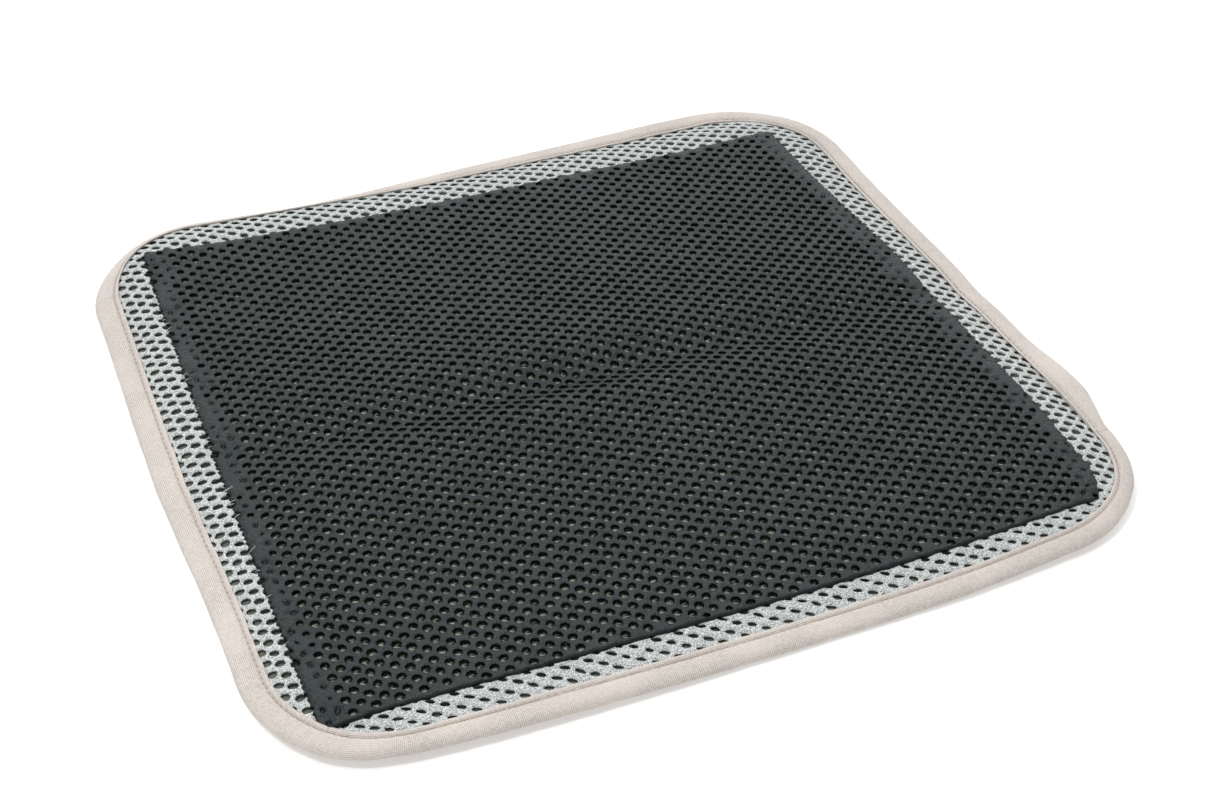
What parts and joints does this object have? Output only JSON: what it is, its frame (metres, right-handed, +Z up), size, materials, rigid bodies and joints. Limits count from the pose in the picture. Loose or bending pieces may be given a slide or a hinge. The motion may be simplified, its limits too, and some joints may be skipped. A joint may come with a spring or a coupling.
{
  "type": "kneeling pad",
  "caption": "Thin, nearly square kneeling pad with round corners: padded spacer mesh with a perforated rubber grip face, a woven cover and a folded edge binding.",
  "frame": {"origin": "middle of the outline, on the plane that the pad rests on", "axes": "+Z up, out of the rubber grip face; +X along the longer side, towards the edge with the tape's join; +Y to the back"},
  "size_m": [0.403, 0.383, 0.0074],
  "materials": {
    "cover_cloth": "matte woven polyester, beige",
    "foam": "open-cell foam, off-white",
    "mesh_back_knit": "matte knit, olive grey",
    "spacer_pile": "translucent monofilament pile, grey",
    "mesh_face_knit": "matte open knit, cool light grey",
    "grip_rubber": "satin rubber coating, near black",
    "binding_cloth": "matte plain weave tape, pinkish beige",
    "seam_thread": "spun polyester thread, beige"
  },
  "bodies": {
    "root": {"cover_fabric": "cover_cloth", "foam_sheet": "foam", "mesh_back": "mesh_back_knit", "spacer_yarns": "spacer_pile", "mesh_face": "mesh_face_knit", "grip_coating": "grip_rubber", "binding_tape": "binding_cloth", "needle_thread": "seam_thread", "bobbin_thread": "seam_thread"}
  },
  "joints": []
}
